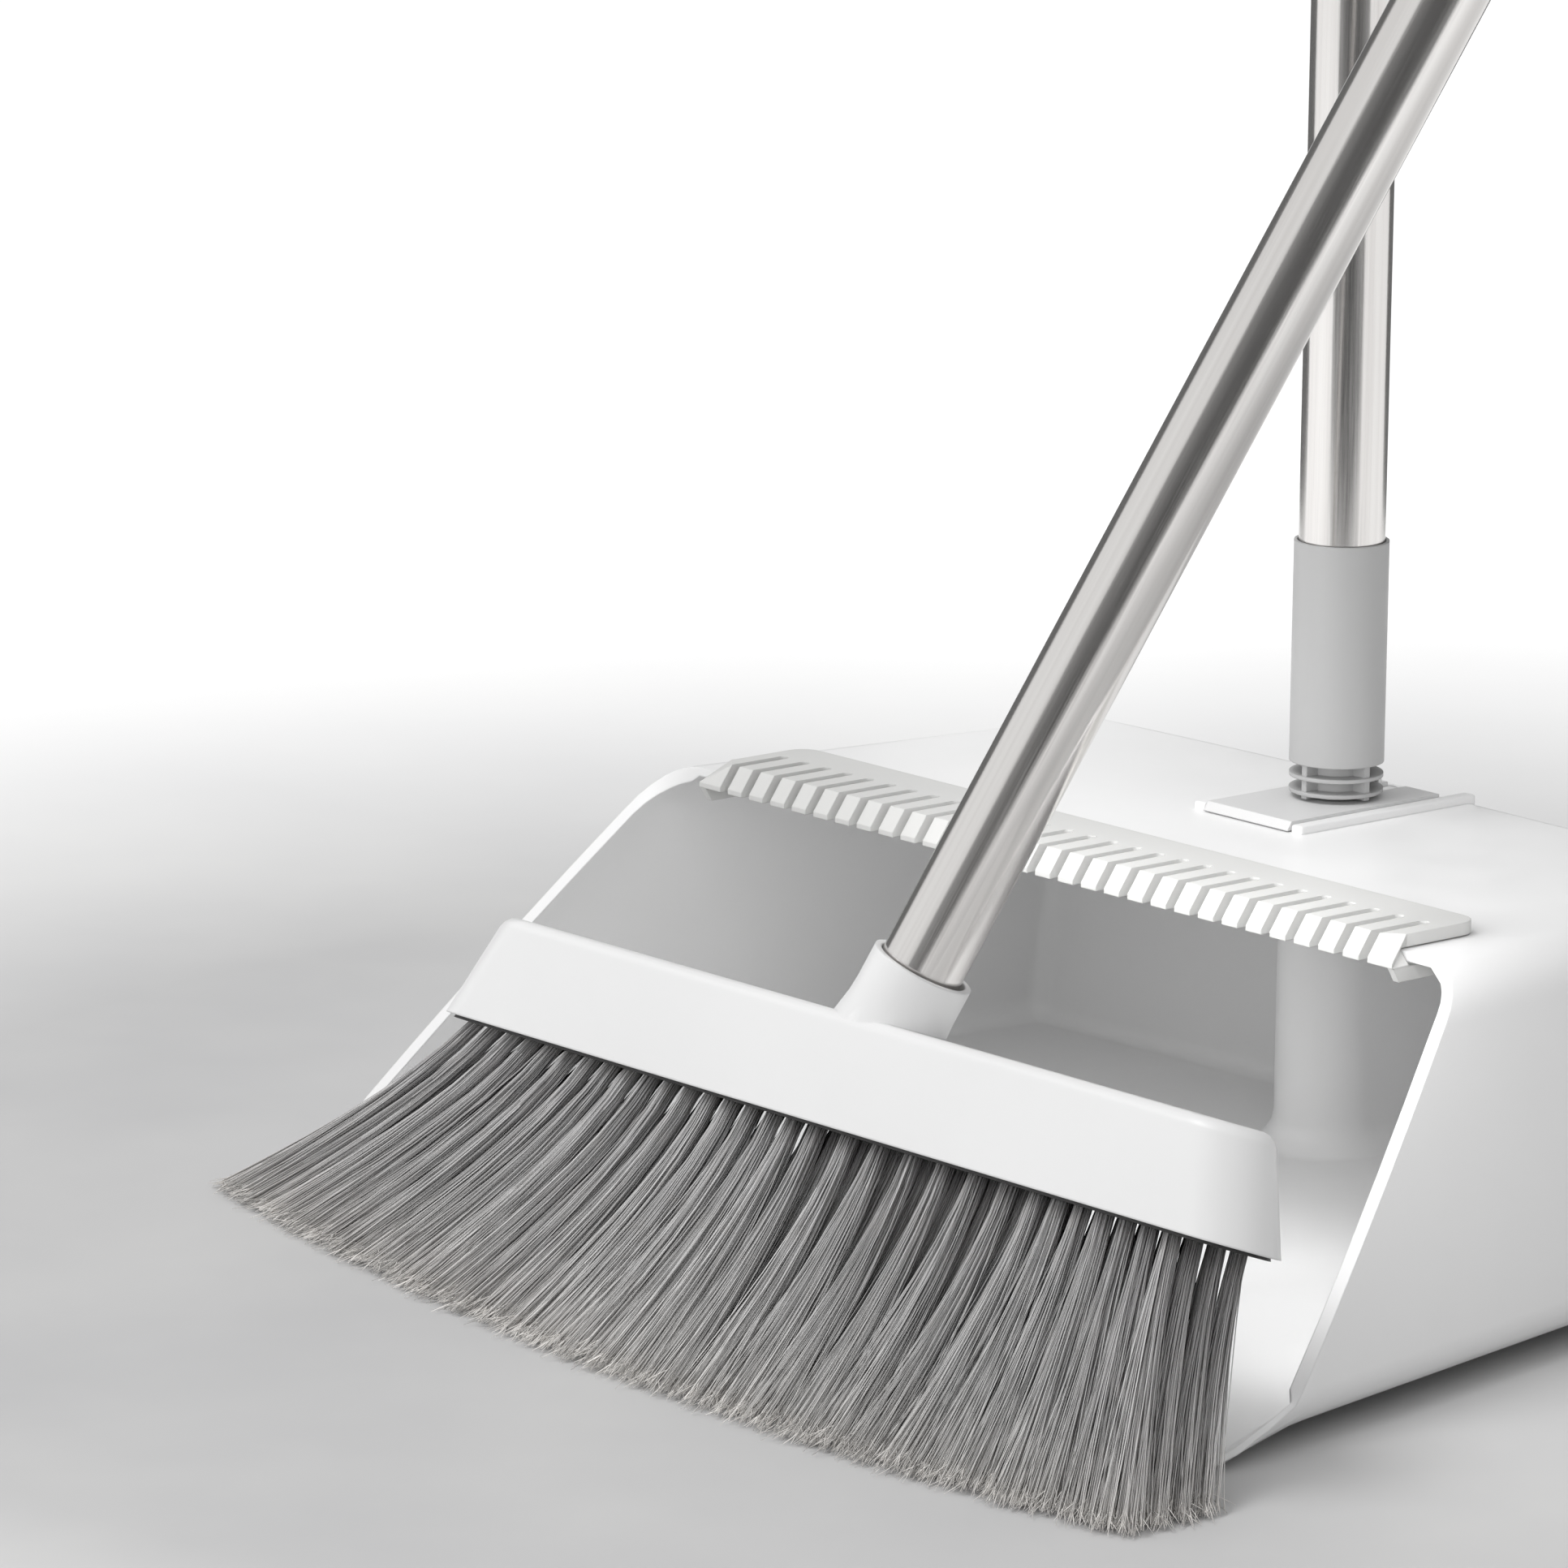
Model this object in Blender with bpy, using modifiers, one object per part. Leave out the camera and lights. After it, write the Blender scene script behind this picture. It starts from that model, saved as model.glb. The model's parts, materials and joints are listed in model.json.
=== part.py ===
"""Upright broom and windproof dustpan set, in metres, +Z up.

The dustpan opens towards -Y and its handle stands on the hood near the rear. The
broom stands in front of the lip, leaning back over the pan. The origin is on the
floor under the middle of the hood's front part.
"""

import math

import bmesh
import bpy
from mathutils import Matrix

GAP = 0.0003            # clearance between pieces that seat on each other
SLIP = 0.00025          # radial clearance of tubes in their sockets

# Scoop
PAN_BASE_Z = 0.0042     # underside of the pan above the floor
HOOD_Z = 0.0956         # top of the hood at the handle's axis
HOOD_SLOPE = 0.8        # degrees, falling towards the rear
WALL = 0.0024
RIM_THICK = 0.0040      # the wall thickens to this at the sides of the opening
LIP_THICK = 0.0012
HOOD_FRONT_Y = -0.0264
PAN_REAR_Y = 0.1075
REAR_BOW = 0.0040       # how far the rear wall's middle stands behind its ends
HALF_WIDTH = 0.1655     # half width at the base, level with the hood's front edge
PLAN_TAPER = 0.143      # how fast each side comes in towards the rear
SIDE_LEAN = 0.2025      # how fast each side leans in towards the hood
SIDE_BULGE = 0.0016
RIM_RUN = 0.974         # how far the opening runs forward for each unit down
HOOD_RADIUS = 0.015
BASE_RADIUS = 0.008
BACK_RADIUS = 0.007
LIP_Y = -0.1410
LIP_START_Y = -0.1080   # where the floor of the pan starts to dip to the lip
LIP_CORNER = 0.009
LIP_RISE = 0.0070       # height at which the rim starts to run out into the lip
FOOT_SIZE = (0.050, 0.010)
FOOT_PLACES = ((0.0, 0.0), (-0.085, 0.080), (0.085, 0.080))

# Handle housing at the rear of the pan
HANDLE_Y = 0.0730
COLUMN_RADIUS = 0.0142
COLUMN_FILLET = 0.0080
SLOT_HALF = COLUMN_RADIUS - 0.0054
PLATE_HALF = COLUMN_RADIUS + 0.0013
PLATE_FRONT_Y = 0.0410
PLATE_LENGTH = 0.0540
PLATE_THICK = 0.0023
PLATE_BEVEL = 0.0016
RAIL_WIDTH = 0.0042
RAIL_HEIGHT = 0.0021
PEG_RADIUS = COLUMN_RADIUS - 0.0062
PEG_DEPTH = 0.0380
TAB_HALF = 0.0030
TAB_HEIGHT = 0.0056
TAB_THICK = 0.0012

# Comb strip on the hood's front edge
COMB_HALF = 0.1248
COMB_REAR_Y = 0.0010
COMB_FRONT_Y = -0.0285
COMB_END_FRONT_Y = -0.0243
COMB_FLARE = 0.0035     # how far the end teeth's tips stand out past the sides
COMB_EDGE = 0.0007
COMB_THICK = 0.0033
COMB_NOSE = 0.0040      # how far the teeth run forward past the top's front edge
COMB_NOSE_DROP = 0.0055
COMB_NOSE_FACE = 0.0013
COMB_CORNER = 0.0060
COMB_SLOTS = 29
COMB_PITCH = 0.00845
COMB_SLOT_WIDTH = 0.0030
COMB_SLOT_END_Y = -0.0110
HOOK_WIDTH = 0.0020
HOOK_DROP = 0.0037
HOOK_REACH = 0.0110

# Tubes, sleeve and neck
PAN_TUBE_RADIUS = 0.0111
BROOM_TUBE_RADIUS = 0.0104
TUBE_WALL = 0.0005
SLEEVE_RADIUS = PAN_TUBE_RADIUS + 0.0011
TAB_FIN_Y = HANDLE_Y + SLEEVE_RADIUS + TAB_THICK + 0.0001    # rear face of the fin behind the sleeve
NECK_HEIGHT = 0.0091
NECK_CORE = 0.0074
NECK_RING = 0.0010
NECK_RING_FOOT = 0.0012 # from the plate up to the lower ring
NECK_RING_PITCH = 0.0040
NECK_RIB_WIDTH = 0.0018
SLEEVE_LENGTH = 0.0575
SLEEVE_FLOOR = 0.0025
PAN_TUBE_LOWER = 0.330
PAN_TUBE_UPPER = 0.270
PLUG_LENGTH = 0.024
COUPLER_RING = 0.0040
COUPLER_DEPTH = 0.022
GRIP_LENGTH = 0.118
GRIP_OVERLAP = 0.100
GRIP_RADIUS = max(PAN_TUBE_RADIUS, BROOM_TUBE_RADIUS) + 0.0029
CAP_LENGTH = 0.034
HANG_HOLE_RADIUS = 0.0060

# Broom clip on the dustpan's tube
CLIP_ABOVE_JOINT = 0.020
CLIP_HEIGHT = 0.022
CLIP_WALL = 0.0024
CLIP_SPACING = 0.034
CLIP_MOUTH = 70.0       # opening of the broom's C, in degrees

# Broom
HEAD_X = 0.0474
HEAD_Y = -0.1353
HEAD_Z = 0.0556         # bottom of the head's middle plane above the floor
HEAD_LEAN = 21.0        # degrees, leaning back over the pan
NECK_LEAN = 17.8        # degrees, tube leaning along the head
HEAD_HALF_BOTTOM = 0.1452
HEAD_HALF_TOP = 0.1333
HEAD_HEIGHT = 0.0272
HEAD_THICK = 0.0279
HEAD_THICK_TOP = 0.0262
HEAD_EDGE = 0.0030
COLLAR_X = 0.0059
COLLAR_HEIGHT = 0.0163
COLLAR_BORE = BROOM_TUBE_RADIUS + 0.0008
COLLAR_RADIUS = COLLAR_BORE + 0.0016
COLLAR_FLARE = 0.0045    # how far the collar spreads along the head at its foot
COLLAR_BORE_DEPTH = 0.033328 - 0.32 * BROOM_TUBE_RADIUS    # stops short of the bristle block
TUBE_SHIFT = -0.0005    # the broom's tube sits against one side of its bore
BLOCK_DEPTH = 0.0110
BLOCK_PROUD = 0.0008
BLOCK_MARGIN = 0.0022
ROW_PITCH = 0.0057
ROW_HALF = 0.1300
ROW_COUNT = 4
TIP_LEFT = -0.2130
TIP_RIGHT = 0.1600
TIP_FRONT_Y = -0.0310   # the front row's tips, swept forward of the block
TIP_REAR_Y = -0.0055    # the rear row's tips
FRONT_BOW = 0.0290      # how far the front row's left end stays behind its furthest tips
REAR_TIP_BOW = 0.0145
BOW_MIDDLE = 0.65       # where along the row the furthest tips are
ROOT_FILL = 0.81        # a row's thickness as a share of the rows' pitch
TIP_FILL = 0.80
SCREW_X = (-0.095, -0.035, 0.045, 0.100)
BROOM_TUBE_LOWER = 0.560
BROOM_TUBE_UPPER = 0.520

WHITE = (0.83, 0.83, 0.82, 1.0)
LIGHT_GREY = (0.60, 0.60, 0.60, 1.0)
MID_GREY = (0.50, 0.50, 0.50, 1.0)
DARK_GREY = (0.05, 0.05, 0.055, 1.0)
BRISTLE_GREY = (0.25, 0.25, 0.25, 1.0)
STEEL = (0.72, 0.71, 0.69, 1.0)

for old in list(bpy.data.objects):
    bpy.data.objects.remove(old, do_unlink=True)

PARTS = bpy.data.collections.new("broom_and_dustpan")
CUTTERS = bpy.data.collections.new("cutters")
bpy.context.scene.collection.children.link(PARTS)
bpy.context.scene.collection.children.link(CUTTERS)


def material(name, colour, roughness, metallic=0.0):
    made = bpy.data.materials.new(name)
    made.use_nodes = True
    shader = made.node_tree.nodes["Principled BSDF"]
    shader.inputs["Base Color"].default_value = colour
    shader.inputs["Roughness"].default_value = roughness
    shader.inputs["Metallic"].default_value = metallic
    return made


WHITE_PLASTIC = material("white_plastic", WHITE, 0.35)
GREY_PLASTIC = material("grey_plastic", LIGHT_GREY, 0.5)
NECK_PLASTIC = material("neck_plastic", MID_GREY, 0.5)
DARK_PLASTIC = material("dark_plastic", DARK_GREY, 0.6)
BRISTLE = material("bristle", BRISTLE_GREY, 0.7)
TUBE_STEEL = material("tube_steel", STEEL, 0.25, 1.0)
SCREW_STEEL = material("screw_steel", STEEL, 0.35, 1.0)


# ---------------------------------------------------------------- helpers

def place(obj, surface, frame=None):
    """Puts a finished object among the parts, with its material, in its frame."""
    obj.data.materials.clear()
    obj.data.materials.append(surface)
    PARTS.objects.link(obj)
    if frame:
        obj.parent = frame
        for step in obj.modifiers:
            if step.type == "BOOLEAN":
                step.object.parent = frame
    return obj


def empty(name, matrix, parent=None):
    """An empty that holds a leaning frame."""
    made = bpy.data.objects.new(name, None)
    made.parent = parent
    made.matrix_basis = matrix
    PARTS.objects.link(made)
    return made


def as_cutter(obj):
    """Marks an object as a helper that only cuts or joins another."""
    obj.hide_render = True
    obj.display_type = "WIRE"
    CUTTERS.objects.link(obj)
    return obj


def object_from(name, bm):
    bmesh.ops.recalc_face_normals(bm, faces=bm.faces)
    mesh = bpy.data.meshes.new(name)
    bm.to_mesh(mesh)
    bm.free()
    return bpy.data.objects.new(name, mesh)


def box(name, low, high):
    """A box between two corners."""
    bm = bmesh.new()
    bmesh.ops.create_cube(bm, size=1.0)
    size = [h - l for l, h in zip(low, high)]
    middle = [(h + l) / 2 for l, h in zip(low, high)]
    bmesh.ops.scale(bm, vec=size, verts=bm.verts)
    bmesh.ops.translate(bm, vec=middle, verts=bm.verts)
    return object_from(name, bm)


def cylinder(name, radius, bottom, top, x=0.0, y=0.0, segments=40, radius_top=None):
    """An upright cylinder or cone between two heights."""
    bm = bmesh.new()
    bmesh.ops.create_cone(bm, cap_ends=True, segments=segments, radius1=radius,
                          radius2=radius if radius_top is None else radius_top,
                          depth=top - bottom)
    bmesh.ops.translate(bm, vec=(x, y, (top + bottom) / 2), verts=bm.verts)
    return object_from(name, bm)


def loft(name, rings):
    """A closed solid through rings with the same number of points."""
    bm = bmesh.new()
    rows = [[bm.verts.new(point) for point in ring] for ring in rings]
    for lower, upper in zip(rows, rows[1:]):
        for i, corner in enumerate(lower):
            after = (i + 1) % len(lower)
            bm.faces.new((corner, lower[after], upper[after], upper[i]))
    bm.faces.new(rows[0])
    bm.faces.new(rows[-1])
    return object_from(name, bm)


def plate(name, outline, bottom, top):
    """A flat plate from a 2D curve, turned into a mesh that can be cut."""
    curve = bpy.data.curves.new(name + "_outline", "CURVE")
    curve.dimensions = "2D"
    curve.fill_mode = "BOTH"
    curve.extrude = (top - bottom) / 2
    spline = curve.splines.new("POLY")
    spline.points.add(len(outline) - 1)
    for point, (x, y) in zip(spline.points, outline):
        point.co = (x, y, 0.0, 1.0)
    spline.use_cyclic_u = True
    flat = bpy.data.objects.new(name + "_outline", curve)
    flat.location.z = (top + bottom) / 2
    CUTTERS.objects.link(flat)
    bpy.context.view_layer.update()
    graph = bpy.context.evaluated_depsgraph_get()
    mesh = bpy.data.meshes.new_from_object(flat.evaluated_get(graph))
    mesh.transform(flat.matrix_world)
    bpy.data.objects.remove(flat, do_unlink=True)
    bm = bmesh.new()
    bm.from_mesh(mesh)
    bpy.data.meshes.remove(mesh)
    bmesh.ops.remove_doubles(bm, verts=bm.verts, dist=1e-6)
    return object_from(name, bm)


def turned(name, profile, segments=40):
    """A turned piece: (radius, height) points run down the outer side, top to bottom."""
    mesh = bpy.data.meshes.new(name)
    points = [(radius, 0.0, height) for radius, height in profile]
    mesh.from_pydata(points, [(i, i + 1) for i in range(len(points) - 1)], [])
    obj = bpy.data.objects.new(name, mesh)
    screw = obj.modifiers.new("turn", "SCREW")
    screw.angle = math.tau
    screw.steps = segments
    screw.render_steps = segments
    screw.use_merge_vertices = True
    screw.merge_threshold = 0.00002
    return obj


def ring_profile(outer, inner, bottom, top):
    """Closed profile of a plain ring or tube."""
    return [(outer, top), (outer, bottom), (inner, bottom), (inner, top), (outer, top)]


def combine(obj, other, operation):
    """Joins or cuts with another object, which becomes a helper."""
    as_cutter(other)
    step = obj.modifiers.new(operation.lower() + "_" + other.name, "BOOLEAN")
    step.operation = operation
    step.solver = "EXACT"
    step.object = other
    return obj


def bevel(obj, width, segments=2, angle=40.0):
    step = obj.modifiers.new("edge", "BEVEL")
    step.width = width
    step.segments = segments
    step.limit_method = "ANGLE"
    step.angle_limit = math.radians(angle)
    return obj


def rounded_outline(half_x, low_y, high_y, corner, steps=5):
    """A rectangle in plan whose two corners at high_y are rounded."""
    points = [(-half_x, low_y), (half_x, low_y)]
    for centre_x, first in ((half_x - corner, 0.0), (corner - half_x, 90.0)):
        for step in range(steps + 1):
            angle = math.radians(first + 90.0 * step / steps)
            points.append((centre_x + corner * math.cos(angle),
                           high_y - corner + corner * math.sin(angle)))
    return points


def stadium(half_length, radius, height, steps=8):
    """A ring in plan with two straight sides and full round ends."""
    ring = []
    for centre_x, first in ((half_length - radius, -90.0), (radius - half_length, 90.0)):
        for step in range(steps + 1):
            angle = math.radians(first + 180.0 * step / steps)
            ring.append((centre_x + radius * math.cos(angle), radius * math.sin(angle), height))
    return ring


# ---------------------------------------------------------------- scoop

def side_x(y, z):
    """Half width of the outer side wall at a place along the pan and a height."""
    share = min(max((z - PAN_BASE_Z) / (HOOD_Z - PAN_BASE_Z), 0.0), 1.0)
    bulge = SIDE_BULGE * 4 * share * (1 - share)
    taper = PLAN_TAPER * (y - HOOD_FRONT_Y)
    return HALF_WIDTH - taper - SIDE_LEAN * (z - PAN_BASE_Z) + bulge


def rim_y(z):
    """Where the slanted opening lies at a height."""
    return HOOD_FRONT_Y - RIM_RUN * (HOOD_Z - z)


FLOOR_STEPS = 6         # points across each half of the floor and of the hood


def half_section(inset):
    """(height, inward offset from the side wall) from the floor's side to the hood's."""
    points = []
    base_radius = max(BASE_RADIUS - inset, 0.0015)
    hood_radius = max(HOOD_RADIUS - inset, 0.0015)
    base_z = PAN_BASE_Z + inset
    hood_z = HOOD_Z - inset
    lean = math.atan(SIDE_LEAN)
    base_turn = math.pi / 2 + lean
    hood_turn = math.pi / 2 - lean
    for step in range(6):
        angle = base_turn * (1 - step / 5)
        points.append((base_z + base_radius * (1 - math.cos(base_turn - angle)),
                       "base", base_radius, base_turn - angle))
    for step in range(1, 5):
        low = base_z + base_radius * (1 - math.cos(base_turn))
        high = hood_z - hood_radius * (1 - math.cos(hood_turn))
        points.append((low + (high - low) * step / 5, "side", 0.0, 0.0))
    for step in range(7):
        angle = hood_turn * step / 6
        points.append((hood_z - hood_radius * (1 - math.cos(hood_turn - angle)),
                       "hood", hood_radius, hood_turn - angle))
    return points


def section_x(y, entry, inset):
    """Half width at one entry of the half section."""
    z, zone, radius, angle = entry
    lean = math.atan(SIDE_LEAN)
    wall_inset = inset / math.cos(lean)
    if zone == "side":
        return side_x(y, z) - wall_inset
    if zone == "base":
        turn = math.pi / 2 + lean
        tangent_z = PAN_BASE_Z + inset + radius * (1 - math.cos(turn))
        centre = side_x(y, tangent_z) - wall_inset - radius * math.sin(turn)
        return centre + radius * math.sin(angle)
    turn = math.pi / 2 - lean
    tangent_z = HOOD_Z - inset - radius * (1 - math.cos(turn))
    centre = side_x(y, tangent_z) - wall_inset - radius * math.sin(turn)
    return centre + radius * math.sin(angle)


def front_of(x, z):
    """Front end of the scoop's skin: the slanted rim, and the lip along the floor."""
    corner = side_x(LIP_Y, PAN_BASE_Z) - abs(x)
    along = min(max(corner / LIP_CORNER, 0.0), 1.0)
    reach = math.sqrt(1 - (1 - along) ** 2)
    lip = LIP_Y + LIP_CORNER * (1 - reach)
    height = min(max((z - PAN_BASE_Z) / LIP_RISE, 0.0), 1.0)
    return rim_y(z) + (lip - rim_y(z)) * (1 - height) ** 2


def flat_ends():
    """Half widths of the flat part of the rear wall at the floor and at the hood."""
    half = half_section(BACK_RADIUS)
    return section_x(PAN_REAR_Y, half[0], BACK_RADIUS), section_x(PAN_REAR_Y, half[-1], BACK_RADIUS)


def settled(x, y, z):
    """Gives the hood its slope, the rear wall its bow, and brings the lip down."""
    share = (z - PAN_BASE_Z) / (HOOD_Z - PAN_BASE_Z)
    slope = math.tan(math.radians(HOOD_SLOPE)) * (HANDLE_Y - y) * share
    rearward = min(max((y - HANDLE_Y) / (PAN_REAR_Y - HANDLE_Y), 0.0), 1.0)
    low, high = flat_ends()
    bow = REAR_BOW * min(abs(x) / (low + (high - low) * share), 1.0) ** 2 * rearward
    along = min(max((LIP_START_Y - y) / (LIP_START_Y - LIP_Y) * 1.25, 0.0), 1.0)
    smooth = along * along * (3 - 2 * along)
    height = min(max((z - PAN_BASE_Z) / 0.02, 0.0), 1.0)
    return (x, y - bow, z + slope - PAN_BASE_Z * smooth * (1 - height))


def ring_points(y_of, inset):
    """One ring round the skin; y_of gives the place along the pan of each point."""
    half = half_section(inset)
    right = []
    first = half[0]
    for step in range(FLOOR_STEPS):
        share = (2 * step + 1) / (2 * FLOOR_STEPS + 1)
        y = y_of(section_x(0.0, first, inset) * share, first[0])
        right.append((section_x(y, first, inset) * share, y, first[0]))
    for entry in half:
        guess = section_x(y_of(side_x(0.0, entry[0]), entry[0]), entry, inset)
        y = y_of(guess, entry[0])
        right.append((section_x(y, entry, inset), y, entry[0]))
    last = half[-1]
    for step in reversed(range(FLOOR_STEPS)):
        share = (2 * step + 1) / (2 * FLOOR_STEPS + 1)
        y = y_of(section_x(0.0, last, inset) * share, last[0])
        right.append((section_x(y, last, inset) * share, y, last[0]))
    left = [(-x, y, z) for x, y, z in right]
    return right + left[::-1]


def wall_share(x, z, row):
    """Wall thickness at a point, as a share of the rim's thickness."""
    if row > 2:
        return WALL / RIM_THICK
    at_rim = (1.0, 0.9, 0.7)[row]
    if z <= PAN_BASE_Z:
        lip = (LIP_THICK / RIM_THICK, 0.4, 0.55)[row]
        return lip
    if z >= HOOD_Z - 1e-6:
        return WALL / RIM_THICK
    return at_rim if z > PAN_BASE_Z + BASE_RADIUS else (0.4, 0.6, 0.6)[row]


def scoop_skin():
    """The open outer skin of the scoop, thickened inwards."""
    straight_end = PAN_REAR_Y - BACK_RADIUS
    shares = (0.0, 0.03, 0.06, 0.10, 0.14, 0.19, 0.26, 0.42, 0.6, 0.8, 1.0)
    rings = []
    for share in shares:
        def y_of(x, z, share=share):
            front = front_of(x, z)
            return front + (straight_end - front) * share
        rings.append(ring_points(y_of, 0.0))
    for step in range(1, 6):
        angle = math.radians(90 * step / 5)
        inset = BACK_RADIUS * (1 - math.cos(angle))
        y_back = straight_end + BACK_RADIUS * math.sin(angle)
        rings.append(ring_points(lambda x, z, y=y_back: y, inset))
    bm = bmesh.new()
    rows = [[bm.verts.new(settled(*point)) for point in ring] for ring in rings]
    for front, back in zip(rows, rows[1:]):
        for i, corner in enumerate(front):
            after = (i + 1) % len(front)
            bm.faces.new((corner, front[after], back[after], back[i]))
    right = rows[-1][:len(rows[-1]) // 2]
    left = rows[-1][len(right):][::-1]
    bm.faces.new((right[0], left[0], left[-1], right[-1]))
    for side in (right, left):
        for step in range(FLOOR_STEPS):
            bm.faces.new((side[step], side[step + 1], side[-2 - step], side[-1 - step]))
        bm.faces.new(side[FLOOR_STEPS:-FLOOR_STEPS])
    bmesh.ops.recalc_face_normals(bm, faces=bm.faces)
    bm.verts.index_update()
    shares = [wall_share(point[0], point[2], row) for row, ring in enumerate(rings) for point in ring]
    mesh = bpy.data.meshes.new("pan_body")
    bm.to_mesh(mesh)
    bm.free()
    skin = bpy.data.objects.new("pan_body", mesh)
    group = skin.vertex_groups.new(name="thickness")
    for index, share in enumerate(shares):
        group.add([index], share, "REPLACE")
    shell = skin.modifiers.new("wall", "SOLIDIFY")
    shell.thickness = RIM_THICK
    shell.vertex_group = group.name
    shell.offset = -1.0
    shell.use_even_offset = True
    return skin


def housing_outline(radius, rear_y, steps=10):
    """A U in plan: a round nose about the handle's axis and sides back to rear_y."""
    points = [(radius, rear_y)]
    for step in range(steps + 1):
        angle = math.radians(0 - 180 * step / steps)
        points.append((radius * math.cos(angle), HANDLE_Y + radius * math.sin(angle)))
    points.append((-radius, rear_y))
    return points


def column():
    """The housing's solid body, flared at its foot."""
    floor = PAN_BASE_Z + WALL
    levels = [(floor - WALL / 2, 1.3), (floor + COLUMN_FILLET * 0.08, 0.62),
              (floor + COLUMN_FILLET * 0.3, 0.29), (floor + COLUMN_FILLET * 0.62, 0.08),
              (floor + COLUMN_FILLET, 0.0), (HOOD_Z - WALL / 2, 0.0)]
    rear = PAN_REAR_Y - WALL / 2
    rings = []
    for height, flare in levels:
        outline = housing_outline(COLUMN_RADIUS + COLUMN_FILLET * flare, rear)
        rings.append([(x, y, height) for x, y in outline])
    return loft("column", rings)


def pan_body():
    pan = scoop_skin()
    inside_z = PAN_BASE_Z + WALL
    combine(pan, column(), "UNION")
    channel = plate("channel", housing_outline(COLUMN_RADIUS - WALL, PAN_REAR_Y + 0.01),
                    inside_z + 2 * GAP, HOOD_Z - WALL - GAP)
    combine(pan, channel, "DIFFERENCE")
    slot = plate("hood_slot", housing_outline(SLOT_HALF, PAN_REAR_Y + 0.01),
                 HOOD_Z - 2 * WALL, HOOD_Z + 0.01)
    combine(pan, slot, "DIFFERENCE")
    rail_x = PLATE_HALF + GAP
    for side, name in ((-1, "left"), (1, "right")):
        low = (min(side * rail_x, side * (rail_x + RAIL_WIDTH)), PLATE_FRONT_Y + 0.0008, HOOD_Z - WALL / 2)
        high = (max(side * rail_x, side * (rail_x + RAIL_WIDTH)), PAN_REAR_Y - BACK_RADIUS / 2,
                HOOD_Z + RAIL_HEIGHT)
        rail = bevel(box("rail_" + name, low, high), 0.0008, 2)
        combine(pan, rail, "UNION")
    for index, (x, y) in enumerate(FOOT_PLACES):
        foot = box("foot_%d" % index, (x - FOOT_SIZE[0] / 2, y - FOOT_SIZE[1] / 2, 0.0),
                   (x + FOOT_SIZE[0] / 2, y + FOOT_SIZE[1] / 2, PAN_BASE_Z + WALL / 2))
        combine(pan, foot, "UNION")
    place(pan, WHITE_PLASTIC)
    for step in pan.modifiers:
        if step.type == "BOOLEAN" and not step.object.name.startswith("foot"):
            step.object.parent = HOOD_FRAME
    return pan


# ---------------------------------------------------------------- comb strip

def comb_slots():
    """All slot cutters in one helper: round rear ends, open at the front."""
    bm = bmesh.new()
    radius = COMB_SLOT_WIDTH / 2
    bottom = HOOD_Z - 0.02
    top = HOOD_Z + 0.02
    for slot in range(COMB_SLOTS):
        middle = (slot - (COMB_SLOTS - 1) / 2) * COMB_PITCH
        outline = [(middle + radius, COMB_FRONT_Y - 0.02)]
        for step in range(7):
            angle = math.radians(180 * step / 6)
            outline.append((middle + radius * math.cos(angle),
                            COMB_SLOT_END_Y - radius + radius * math.sin(angle)))
        outline.append((middle - radius, COMB_FRONT_Y - 0.02))
        low = [bm.verts.new((x, y, bottom)) for x, y in outline]
        high = [bm.verts.new((x, y, top)) for x, y in outline]
        bm.faces.new(low)
        bm.faces.new(high)
        for i in range(len(outline)):
            after = (i + 1) % len(outline)
            bm.faces.new((low[i], low[after], high[after], high[i]))
    return object_from("comb_slots", bm)


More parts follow.
